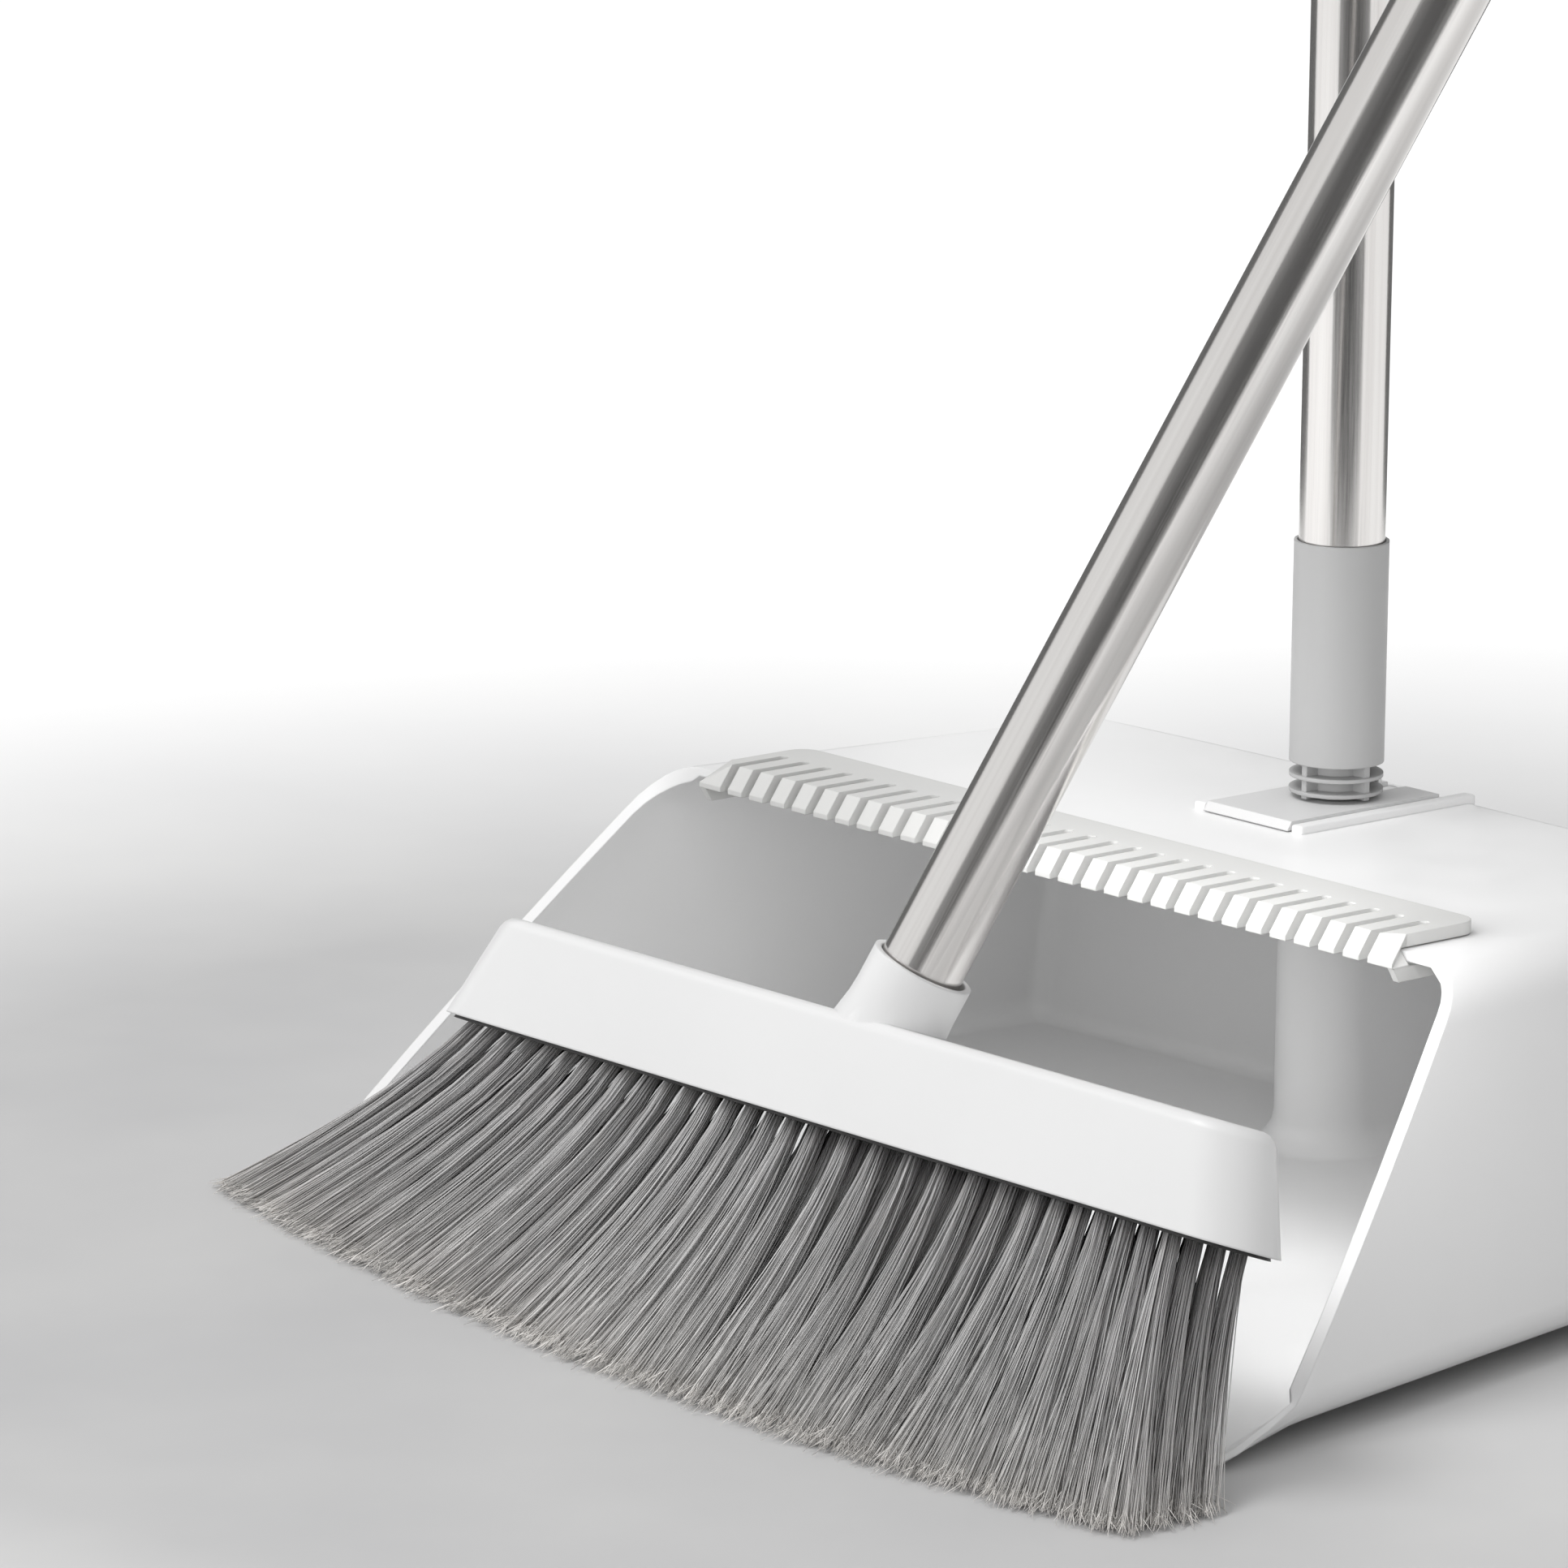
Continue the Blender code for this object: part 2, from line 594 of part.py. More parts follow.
def comb_strip():
    base = HOOD_Z + GAP
    top = base + COMB_THICK
    strip = plate("comb_strip", rounded_outline(COMB_HALF, COMB_END_FRONT_Y, COMB_REAR_Y, COMB_CORNER),
                  base, top)
    bevel(strip, COMB_EDGE, 2, 60.0)
    nose_low = top - COMB_NOSE_DROP - COMB_NOSE_FACE
    inner_y = HOOD_FRONT_Y - GAP
    last_slot = (COMB_SLOTS - 1) / 2 * COMB_PITCH + COMB_SLOT_WIDTH / 2
    tip_y = COMB_FRONT_Y - COMB_NOSE
    seat_y = COMB_END_FRONT_Y + 0.0022
    rings = []
    for side in (-1, 1):
        end = [(COMB_HALF, COMB_END_FRONT_Y, top), (COMB_HALF + COMB_FLARE, tip_y, top - COMB_NOSE_DROP),
               (COMB_HALF + COMB_FLARE, tip_y, nose_low), (COMB_HALF + COMB_FLARE, inner_y, nose_low),
               (COMB_HALF, inner_y + 0.0001, base), (COMB_HALF - COMB_EDGE, seat_y, base),
               (COMB_HALF - COMB_EDGE, seat_y, top)]
        inner = [(last_slot, COMB_FRONT_Y, top), (last_slot, tip_y, top - COMB_NOSE_DROP),
                 (last_slot, tip_y, nose_low), (last_slot, inner_y, nose_low),
                 (last_slot, inner_y + 0.0001, base), (last_slot, seat_y, base), (last_slot, seat_y, top)]
        pair = [[(side * x, y, z) for x, y, z in ring] for ring in (end, inner)]
        rings += pair if side < 0 else pair[::-1]
    combine(strip, loft("comb_nose", rings), "UNION")
    combine(strip, comb_slots(), "DIFFERENCE")
    for side, name in ((-1, "left"), (1, "right")):
        outer = COMB_HALF + COMB_FLARE - 0.0001
        xs = sorted((side * outer, side * (outer - HOOK_WIDTH)))
        hook_top = HOOD_Z - WALL - 3 * GAP
        front = tip_y + 0.0002
        drop = [(front, nose_low + GAP), (front + HOOK_DROP * 0.65, nose_low - HOOK_DROP),
                (COMB_FRONT_Y + HOOK_REACH, nose_low - HOOK_DROP),
                (COMB_FRONT_Y + HOOK_REACH, hook_top), (inner_y - 0.0002, hook_top),
                (inner_y - 0.0002, nose_low + GAP)]
        hook = loft("comb_hook_" + name, [[(x, y, z) for y, z in drop] for x in xs])
        combine(strip, hook, "UNION")
    return place(strip, GREY_PLASTIC, HOOD_FRAME)


# ---------------------------------------------------------------- neck and tubes

PLATE_Z = HOOD_Z + GAP
NECK_Z = PLATE_Z + PLATE_THICK + GAP
SLEEVE_Z = NECK_Z + NECK_HEIGHT
PAN_TUBE_Z = SLEEVE_Z + SLEEVE_FLOOR + GAP


def on_handle(obj):
    obj.location = (0.0, HANDLE_Y, 0.0)
    return obj


def neck_plate():
    rear = PLATE_FRONT_Y + PLATE_LENGTH
    base = plate("neck_plate", [(-PLATE_HALF, PLATE_FRONT_Y + PLATE_BEVEL), (PLATE_HALF, PLATE_FRONT_Y + PLATE_BEVEL),
                                (PLATE_HALF, rear), (-PLATE_HALF, rear)], PLATE_Z, PLATE_Z + PLATE_THICK)
    wedge = [(PLATE_FRONT_Y, PLATE_Z), (PLATE_FRONT_Y + PLATE_BEVEL + 0.001, PLATE_Z),
             (PLATE_FRONT_Y + PLATE_BEVEL + 0.001, PLATE_Z + PLATE_THICK),
             (PLATE_FRONT_Y + PLATE_BEVEL, PLATE_Z + PLATE_THICK)]
    combine(base, loft("plate_wedge", [[(x, y, z) for y, z in wedge] for x in (-PLATE_HALF, PLATE_HALF)]), "UNION")
    hole = cylinder("plate_hole", PEG_RADIUS + GAP, PLATE_Z - 0.01, PLATE_Z + 0.01, y=HANDLE_Y)
    combine(base, hole, "DIFFERENCE")
    pocket = box("tab_pocket", (-TAB_HALF - GAP, TAB_FIN_Y - TAB_THICK - GAP, PLATE_Z - 0.01),
                 (TAB_HALF + GAP, rear + 0.01, PLATE_Z + 0.01))
    combine(base, pocket, "DIFFERENCE")
    return place(base, NECK_PLASTIC, HOOD_FRAME)


def release_tab():
    """The spring tab behind the neck: a round-topped fin and the ledge it presses."""
    rear = TAB_FIN_Y
    top = PLATE_Z + PLATE_THICK + TAB_HEIGHT
    end = PLATE_FRONT_Y + PLATE_LENGTH
    ledge = box("release_tab", (-TAB_HALF, rear - TAB_THICK, PLATE_Z), (TAB_HALF, end, PLATE_Z + TAB_THICK))
    outline = [(-TAB_HALF, PLATE_Z), (TAB_HALF, PLATE_Z)]
    for step in range(9):
        angle = math.radians(180 * step / 8)
        outline.append((TAB_HALF * math.cos(angle), top - TAB_HALF + TAB_HALF * math.sin(angle)))
    fin = loft("tab_fin", [[(x, y, z) for x, z in outline] for y in (rear - TAB_THICK, rear)])
    combine(ledge, fin, "UNION")
    return place(ledge, WHITE_PLASTIC, HOOD_FRAME)


def neck_sleeve():
    """Cored neck of thin rings and ribs round a core, with the long sleeve on top."""
    top = SLEEVE_Z + SLEEVE_LENGTH
    bore = PAN_TUBE_RADIUS + SLIP
    sleeve = turned("neck_sleeve", [(0.0, SLEEVE_Z + SLEEVE_FLOOR), (bore, SLEEVE_Z + SLEEVE_FLOOR), (bore, top),
                                    (SLEEVE_RADIUS, top), (SLEEVE_RADIUS, SLEEVE_Z), (NECK_CORE, SLEEVE_Z),
                                    (NECK_CORE, NECK_Z), (0.0, NECK_Z)], 48)
    on_handle(sleeve)
    for index in range(2):
        low = NECK_Z + NECK_RING_FOOT + NECK_RING_PITCH * index
        ring = cylinder("neck_ring_%d" % index, SLEEVE_RADIUS - 0.0001, low, low + NECK_RING, y=HANDLE_Y, segments=48)
        combine(sleeve, ring, "UNION")
    for index in range(2):
        rib = box("neck_rib_%d" % index, (-SLEEVE_RADIUS + 0.0008, -NECK_RIB_WIDTH / 2, NECK_Z + GAP),
                  (SLEEVE_RADIUS - 0.0008, NECK_RIB_WIDTH / 2, SLEEVE_Z + 0.0008))
        turn = Matrix.Rotation(math.radians(90 * index), 4, "Z")
        rib.data.transform(Matrix.Translation((0.0, HANDLE_Y, 0.0)) @ turn)
        combine(sleeve, rib, "UNION")
    screw_way = cylinder("neck_screw_way", 0.0035, NECK_Z - 0.01, SLEEVE_Z + 0.02, y=HANDLE_Y, segments=24)
    combine(sleeve, screw_way, "DIFFERENCE")
    return place(sleeve, NECK_PLASTIC, HOOD_FRAME)


def socket_peg():
    """Peg below the plate that slides along the housing channel in the pan."""
    top = PLATE_Z + PLATE_THICK
    low = PLATE_Z - PEG_DEPTH
    peg = turned("socket_peg", [(PEG_RADIUS, top), (PEG_RADIUS, HOOD_Z - WALL - GAP),
                                (COLUMN_RADIUS - WALL - 0.0006, HOOD_Z - WALL - GAP),
                                (COLUMN_RADIUS - WALL - 0.0006, HOOD_Z - WALL - 0.004),
                                (PEG_RADIUS, HOOD_Z - WALL - 0.006), (PEG_RADIUS, low), (0.0035, low),
                                (0.0035, top), (PEG_RADIUS, top)], 32)
    return place(on_handle(peg), NECK_PLASTIC, HOOD_FRAME)


def neck_screw():
    """Long screw up through the peg, which pulls the sleeve down on the plate."""
    low = PLATE_Z - PEG_DEPTH
    top = SLEEVE_Z + SLEEVE_FLOOR
    screw = turned("neck_screw", [(0.0, top), (0.0024, top - 0.001), (0.0024, low - GAP), (0.0052, low - GAP),
                                  (0.0052, low - 0.0022), (0.0, low - 0.0030)], 20)
    return place(on_handle(screw), SCREW_STEEL, HOOD_FRAME)


def steel_tube(name, radius, bottom, length, frame):
    tube = turned(name, ring_profile(radius, radius - TUBE_WALL, bottom, bottom + length), 40)
    return place(tube, TUBE_STEEL, frame)


def tube_plug(name, tube_radius, bottom, frame):
    """Plastic insert pressed into a tube's lower end."""
    radius = tube_radius - TUBE_WALL - SLIP
    plug = turned(name, [(0.0, bottom + PLUG_LENGTH), (radius - 0.001, bottom + PLUG_LENGTH),
                         (radius, bottom + PLUG_LENGTH - 0.002), (radius, bottom), (0.0, bottom)], 24)
    return place(plug, NECK_PLASTIC, frame)


def tube_coupler(name, tube_radius, middle, frame):
    """Screw joint between two tube sections: a visible ring and a spigot each way."""
    spigot = tube_radius - TUBE_WALL - SLIP
    ring = tube_radius + 0.0004
    half = COUPLER_RING / 2 - GAP
    coupler = turned(name, [(0.0, middle + COUPLER_DEPTH), (spigot, middle + COUPLER_DEPTH), (spigot, middle + half),
                            (ring, middle + half), (ring, middle - half), (spigot, middle - half),
                            (spigot, middle - COUPLER_DEPTH), (0.0, middle - COUPLER_DEPTH)], 32)
    return place(coupler, NECK_PLASTIC, frame)


def tube_grip(name, tube_radius, tube_top, frame):
    """Soft grip pushed over the tube's top end, waisted in the middle."""
    low = tube_top - GRIP_OVERLAP
    top = low + GRIP_LENGTH
    bore = tube_radius + SLIP
    slender = tube_radius + 0.0022
    grip = turned(name, [(GRIP_RADIUS - 0.001, top), (GRIP_RADIUS, top - 0.003), (GRIP_RADIUS, top - 0.020),
                         (slender, low + 0.060), (slender, low + 0.030), (GRIP_RADIUS - 0.0008, low + 0.004),
                         (GRIP_RADIUS - 0.0016, low), (bore, low), (bore, tube_top + GAP),
                         (0.0085, tube_top + 0.002), (0.0085, top), (GRIP_RADIUS - 0.001, top)], 32)
    return place(grip, GREY_PLASTIC, frame)


def grip_cap(name, tube_top, frame):
    """Flattened loop on the grip's end, with the hole to hang it by."""
    seat = tube_top - GRIP_OVERLAP + GRIP_LENGTH
    sections = []
    for share, half_x, half_y in ((0.0, 0.0128, 0.0128), (0.2, 0.0130, 0.0105), (0.5, 0.0130, 0.0062),
                                  (0.8, 0.0105, 0.0050), (0.95, 0.0062, 0.0040), (1.0, 0.0030, 0.0026)):
        height = seat + GAP + CAP_LENGTH * share
        ring = []
        for step in range(24):
            angle = math.tau * step / 24
            ring.append((half_x * math.cos(angle), half_y * math.sin(angle), height))
        sections.append(ring)
    cap = loft(name, sections)
    stem = cylinder(name + "_stem", 0.0080, seat - 0.010, seat + 0.004, segments=24)
    combine(cap, stem, "UNION")
    hole = cylinder(name + "_hole", HANG_HOLE_RADIUS, -0.03, 0.03, segments=24)
    hole.data.transform(Matrix.Translation((0.0, 0.0, seat + CAP_LENGTH * 0.55)) @ Matrix.Rotation(math.pi / 2, 4, "X"))
    combine(cap, hole, "DIFFERENCE")
    return place(cap, NECK_PLASTIC, frame)


def two_part_handle(label, radius, bottom, lower, upper, frame):
    """The steel tubes with their plug, joint, grip and cap. Gives the joint's height."""
    joint = bottom + lower + COUPLER_RING / 2
    tube_top = joint + COUPLER_RING / 2 + upper
    steel_tube(label + "_tube_lower", radius, bottom, lower, frame)
    tube_plug(label + "_tube_plug", radius, bottom + GAP, frame)
    tube_coupler(label + "_tube_coupler", radius, joint, frame)
    steel_tube(label + "_tube_upper", radius, joint + COUPLER_RING / 2, upper, frame)
    tube_grip(label + "_grip", radius, tube_top, frame)
    grip_cap(label + "_grip_cap", tube_top, frame)
    return joint


def c_outline(inner, outer, x, y, middle_angle, mouth, steps=18):
    """A C in plan, open towards middle_angle over mouth degrees."""
    first = middle_angle + mouth / 2
    sweep = 360.0 - mouth
    angles = [math.radians(first + sweep * i / steps) for i in range(steps + 1)]
    far = [(x + outer * math.cos(a), y + outer * math.sin(a)) for a in angles]
    near = [(x + inner * math.cos(a), y + inner * math.sin(a)) for a in reversed(angles)]
    return far + near


def broom_clip(low):
    """Ring on the dustpan's tube with an open C that stores the broom's tube."""
    ring_in = PAN_TUBE_RADIUS + GAP
    ring_out = ring_in + CLIP_WALL
    grab_in = BROOM_TUBE_RADIUS - 0.0003
    high = low + CLIP_HEIGHT
    clip = plate("broom_clip", c_outline(grab_in, grab_in + CLIP_WALL, 0.0, -CLIP_SPACING, -90.0, CLIP_MOUTH),
                 low, high)
    combine(clip, cylinder("clip_ring", ring_out, low, high, segments=40), "UNION")
    bridge = box("clip_bridge", (-0.006, -CLIP_SPACING + grab_in + 0.0004, low + 0.002),
                 (0.006, -ring_in - 0.0006, high - 0.002))
    combine(clip, bridge, "UNION")
    combine(clip, cylinder("clip_bore", ring_in, low - 0.01, high + 0.01, segments=40), "DIFFERENCE")
    return place(clip, NECK_PLASTIC, TUBE_FRAME)


def dustpan_handle():
    neck_plate()
    release_tab()
    neck_sleeve()
    socket_peg()
    neck_screw()
    joint = two_part_handle("pan", PAN_TUBE_RADIUS, PAN_TUBE_Z, PAN_TUBE_LOWER, PAN_TUBE_UPPER, TUBE_FRAME)
    broom_clip(joint + CLIP_ABOVE_JOINT)


# ---------------------------------------------------------------- broom

def head_ring(height, inset=0.0):
    share = min(height / HEAD_HEIGHT, 1.0)
    half = HEAD_HALF_BOTTOM + (HEAD_HALF_TOP - HEAD_HALF_BOTTOM) * share - inset
    radius = (HEAD_THICK + (HEAD_THICK_TOP - HEAD_THICK) * share) / 2 - inset
    return stadium(half, radius, height)


def broom_head():
    rings = [head_ring(0.0), head_ring(HEAD_HEIGHT - HEAD_EDGE)]
    for step in range(1, 4):
        angle = math.radians(30 * step)
        rings.append(head_ring(HEAD_HEIGHT - HEAD_EDGE * (1 - math.sin(angle)), HEAD_EDGE * (1 - math.cos(angle))))
    cover = loft("broom_head", rings)
    tilt = Matrix.Translation((COLLAR_X, 0.0, HEAD_HEIGHT)) @ Matrix.Rotation(math.radians(NECK_LEAN), 4, "Y")
    rings = []
    for height, flare in ((-0.0095, 1.0), (-0.002, 0.45), (0.003, 0.12), (0.007, 0.0), (COLLAR_HEIGHT, 0.0)):
        ring = []
        for step in range(48):
            angle = math.tau * step / 48
            ring.append(((COLLAR_RADIUS + COLLAR_FLARE * flare) * math.cos(angle),
                         COLLAR_RADIUS * math.sin(angle), height))
        rings.append(ring)
    collar = loft("collar", rings)
    collar.data.transform(tilt)
    combine(cover, collar, "UNION")
    bore = cylinder("collar_bore", COLLAR_BORE, COLLAR_HEIGHT - COLLAR_BORE_DEPTH, COLLAR_HEIGHT + 0.01,
                    segments=48)
    bore.data.transform(tilt)
    combine(cover, bore, "DIFFERENCE")
    recess = loft("block_recess", [head_ring(-0.005, BLOCK_MARGIN), head_ring(BLOCK_DEPTH + GAP, BLOCK_MARGIN)])
    combine(cover, recess, "DIFFERENCE")
    return place(cover, WHITE_PLASTIC, HEAD_FRAME)


def bristle_block():
    """The block that holds the tufts, let into the underside of the head."""
    inset = BLOCK_MARGIN + GAP
    block = loft("bristle_block", [head_ring(-BLOCK_PROUD, inset), head_ring(BLOCK_DEPTH, inset)])
    for index, x in enumerate(SCREW_X):
        way = cylinder("block_screw_way_%d" % index, 0.0026 + GAP, -0.01, 0.0052, x=x, segments=16)
        combine(block, way, "DIFFERENCE")
    return place(block, DARK_PLASTIC, HEAD_FRAME)


def block_screw(name, x):
    """A screw between the middle tuft rows that holds the block in the head."""
    screw = cylinder(name, 0.0026, 0.0009, 0.0049, x=x, segments=16)
    return place(screw, SCREW_STEEL, HEAD_FRAME)


def bristle_row(name, index):
    """One row of tufts as a fan: narrow at the block, spread and swept at the floor."""
    lean = math.radians(HEAD_LEAN)
    order = index / (ROW_COUNT - 1)
    root = -BLOCK_PROUD - GAP
    levels = 6
    across = 10
    rings = []
    for level in range(levels + 1):
        share = level / levels
        spread = share ** 1.35
        left = -ROW_HALF + (TIP_LEFT + ROW_HALF) * spread
        right = ROW_HALF + (TIP_RIGHT - ROW_HALF) * spread
        fill = ROOT_FILL + (TIP_FILL - ROOT_FILL) * share
        front_root = -ROW_PITCH * (ROW_COUNT - 1) / 2
        ring = []
        for face in (-1, 1):
            for step in range(across + 1):
                along = step / across if face < 0 else 1 - step / across
                back = ((along - BOW_MIDDLE) / BOW_MIDDLE) ** 2
                front = front_root + (TIP_FRONT_Y + FRONT_BOW * back - front_root) * spread
                rear = -front_root + (TIP_REAR_Y + REAR_TIP_BOW * back + front_root) * spread
                pitch = (rear - front) / (ROW_COUNT - 1)
                x = left + (right - left) * along
                y = front + (rear - front) * order + face * fill * pitch / 2
                floor = -(HEAD_Z - y * math.sin(lean)) / math.cos(lean)
                ring.append((x, y, root + (floor - root) * share))
        rings.append(ring)
    return place(loft(name, rings), BRISTLE, HEAD_FRAME)


def broom():
    broom_head()
    bristle_block()
    for index, x in enumerate(SCREW_X):
        block_screw("block_screw_%d" % (index + 1), x)
    for index in range(ROW_COUNT):
        bristle_row("bristle_row_%d" % (index + 1), index)
    bottom = COLLAR_HEIGHT - COLLAR_BORE_DEPTH + GAP
    two_part_handle("broom", BROOM_TUBE_RADIUS, bottom, BROOM_TUBE_LOWER, BROOM_TUBE_UPPER, NECK_FRAME)


def shade_round():
    """Smooth shading with sharp edges kept, on every part."""
    for obj in PARTS.objects:
        if obj.type == "MESH":
            obj.data.shade_smooth()
            obj.data.set_sharp_from_angle(angle=math.radians(35))


# The hood's slope is taken up about the point where the handle's axis meets it.
HOOD_PIVOT = Matrix.Translation((0.0, HANDLE_Y, HOOD_Z))
HOOD_TURN = Matrix.Rotation(-math.radians(HOOD_SLOPE), 4, "X")
HOOD_FRAME = empty("hood_frame", HOOD_PIVOT @ HOOD_TURN @ HOOD_PIVOT.inverted())
TUBE_FRAME = empty("tube_frame", Matrix.Translation((0.0, HANDLE_Y, 0.0)), HOOD_FRAME)
HEAD_FRAME = empty("head_frame", Matrix.Translation((HEAD_X, HEAD_Y, HEAD_Z))
                   @ Matrix.Rotation(-math.radians(HEAD_LEAN), 4, "X"))
NECK_FRAME = empty("neck_frame", Matrix.Translation((COLLAR_X, 0.0, HEAD_HEIGHT))
                   @ Matrix.Rotation(math.radians(NECK_LEAN), 4, "Y")
                   @ Matrix.Translation((TUBE_SHIFT, 0.0, 0.0)), HEAD_FRAME)

pan_body()
comb_strip()
dustpan_handle()
broom()
shade_round()
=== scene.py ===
"""Looks of the broom and dustpan set: surfaces, bristles, floor, lights and camera."""
import json
import math

import bpy
import numpy as np
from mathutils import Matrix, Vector


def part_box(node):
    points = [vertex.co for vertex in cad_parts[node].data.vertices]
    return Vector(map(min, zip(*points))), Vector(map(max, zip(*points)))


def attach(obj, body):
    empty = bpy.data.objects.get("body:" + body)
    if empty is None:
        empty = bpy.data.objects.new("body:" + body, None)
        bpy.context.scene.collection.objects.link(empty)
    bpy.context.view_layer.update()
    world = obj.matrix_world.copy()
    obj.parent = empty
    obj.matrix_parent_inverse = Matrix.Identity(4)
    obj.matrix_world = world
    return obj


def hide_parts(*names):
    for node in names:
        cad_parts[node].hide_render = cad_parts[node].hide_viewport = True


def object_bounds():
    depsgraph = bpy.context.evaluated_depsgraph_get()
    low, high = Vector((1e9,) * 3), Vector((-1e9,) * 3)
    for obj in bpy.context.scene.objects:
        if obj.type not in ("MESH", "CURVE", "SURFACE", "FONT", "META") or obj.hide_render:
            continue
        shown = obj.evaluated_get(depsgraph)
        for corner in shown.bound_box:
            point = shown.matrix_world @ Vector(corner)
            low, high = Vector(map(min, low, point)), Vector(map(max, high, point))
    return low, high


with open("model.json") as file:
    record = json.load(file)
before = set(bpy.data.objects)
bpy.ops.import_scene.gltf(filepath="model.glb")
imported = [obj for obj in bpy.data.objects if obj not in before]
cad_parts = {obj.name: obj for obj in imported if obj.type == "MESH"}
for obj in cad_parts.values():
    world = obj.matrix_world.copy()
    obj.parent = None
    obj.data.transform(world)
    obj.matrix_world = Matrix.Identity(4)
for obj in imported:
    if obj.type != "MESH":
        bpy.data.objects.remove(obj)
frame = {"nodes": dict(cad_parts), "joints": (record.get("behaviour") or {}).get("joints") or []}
CAD_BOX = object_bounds()
NODES = frame["nodes"]
JOINTS = {joint["name"]: joint for joint in frame["joints"]}
TUBE_AXIS = Vector(JOINTS["broom_handle_pull"]["axis"]).normalized()
PAN_AXIS = Vector(JOINTS["clip_slide"]["axis"]).normalized()
SCENE = bpy.context.scene

# ---------------------------------------------------------------- camera
CAMERA_AT = (1.6017, -1.4899, 0.6135)
CAMERA_TILT = 77.08
CAMERA_TURN = 49.33
CAMERA_LENS = 204.97


def camera():
    data = bpy.data.cameras.new("camera")
    data.lens = CAMERA_LENS
    data.sensor_width = 36.0
    data.clip_end = 50.0
    made = bpy.data.objects.new("camera", data)
    made.location = CAMERA_AT
    made.rotation_euler = (math.radians(CAMERA_TILT), 0.0, math.radians(CAMERA_TURN))
    SCENE.collection.objects.link(made)
    SCENE.camera = made


# ---------------------------------------------------------------- materials
class Graph:
    """A material's node tree, with short calls to add nodes to it."""

    def __init__(self, name):
        self.material = bpy.data.materials.new(name)
        self.material.use_nodes = True
        self.tree = self.material.node_tree
        self.shader = self.tree.nodes["Principled BSDF"]

    def add(self, kind, **settings):
        node = self.tree.nodes.new(kind)
        for name, value in settings.items():
            setattr(node, name, value)
        return node

    def join(self, source, target):
        self.tree.links.new(source, target)

    def put(self, socket, value):
        if hasattr(value, "links"):
            self.join(value, socket)
        else:
            socket.default_value = value

    def place(self):
        return self.add("ShaderNodeTexCoord").outputs["Object"]

    def noise(self, vector, scale, detail=2.0, roughness=0.5):
        node = self.add("ShaderNodeTexNoise")
        self.join(vector, node.inputs["Vector"])
        node.inputs["Scale"].default_value = scale
        node.inputs["Detail"].default_value = detail
        node.inputs["Roughness"].default_value = roughness
        return node.outputs["Fac"]

    def spread(self, value, low, high, start=0.0, end=1.0):
        node = self.add("ShaderNodeMapRange")
        self.join(value, node.inputs["Value"])
        node.inputs["From Min"].default_value = start
        node.inputs["From Max"].default_value = end
        node.inputs["To Min"].default_value = low
        node.inputs["To Max"].default_value = high
        return node.outputs["Result"]

    def maths(self, operation, a, b):
        node = self.add("ShaderNodeMath", operation=operation)
        self.put(node.inputs[0], a)
        self.put(node.inputs[1], b)
        return node.outputs[0]

    def ramp(self, value, stops):
        node = self.add("ShaderNodeValToRGB")
        self.join(value, node.inputs["Fac"])
        elements = node.color_ramp.elements
        while len(elements) < len(stops):
            elements.new(0.5)
        for element, (at, colour) in zip(elements, stops):
            element.position = at
            element.color = (*colour, 1.0)
        return node.outputs["Color"]

    def mix(self, share, a, b):
        node = self.add("ShaderNodeMix", data_type="RGBA", blend_type="MIX")
        self.put(node.inputs[0], share)
        self.put(node.inputs[6], a)
        self.put(node.inputs[7], b)
        return node.outputs[2]

    def bump(self, height, strength, distance, normal):
        node = self.add("ShaderNodeBump")
        node.inputs["Strength"].default_value = strength
        node.inputs["Distance"].default_value = distance
        self.join(height, node.inputs["Height"])
        self.join(normal, node.inputs["Normal"])
        return node.outputs["Normal"]

    def rounded(self, radius, samples=6):
        node = self.add("ShaderNodeBevel", samples=samples)
        node.inputs["Radius"].default_value = radius
        return node.outputs["Normal"]


CLOUDING = 0.03         # how far a moulding's colour wanders
PLASTIC_IOR = 1.46


def plastic(name, colour, rough, edge=0.0005, grain=0.05, grain_scale=1400.0):
    """Moulded plastic: a fine spark-eroded grain, faint clouding, softened edges."""
    g = Graph(name)
    place = g.place()
    cloud = g.noise(place, 9.0, 3.0)
    dark = tuple(c * (1 - CLOUDING) for c in colour)
    light = tuple(min(c * (1 + CLOUDING * 0.6), 1.0) for c in colour)
    g.join(g.ramp(cloud, [(0.3, dark), (0.7, light)]), g.shader.inputs["Base Color"])
    streak = g.noise(place, 55.0, 4.0, 0.6)
    g.join(g.spread(streak, rough - 0.05, rough + 0.05, 0.3, 0.7), g.shader.inputs["Roughness"])
    fine = g.noise(place, grain_scale, 2.0)
    g.join(g.bump(fine, grain, 0.0001, g.rounded(edge)), g.shader.inputs["Normal"])
    g.shader.inputs["IOR"].default_value = PLASTIC_IOR
    return g.material


MARK_STRETCH = 0.012    # scale along the tube against scale across it


def lengthwise(g, axis):
    """Coordinates that are stretched out along an axis, for marks that run along it."""
    axis = Vector(axis).normalized()
    first = axis.orthogonal().normalized()
    second = axis.cross(first)
    place = g.place()
    parts = []
    for direction, factor in ((first, 1.0), (second, 1.0), (axis, MARK_STRETCH)):
        dot = g.add("ShaderNodeVectorMath", operation="DOT_PRODUCT")
        g.join(place, dot.inputs[0])
        dot.inputs[1].default_value = direction * factor
        parts.append(dot.outputs["Value"])
    joined = g.add("ShaderNodeCombineXYZ")
    for part, socket in zip(parts, joined.inputs):
        g.join(part, socket)
    return joined.outputs["Vector"]


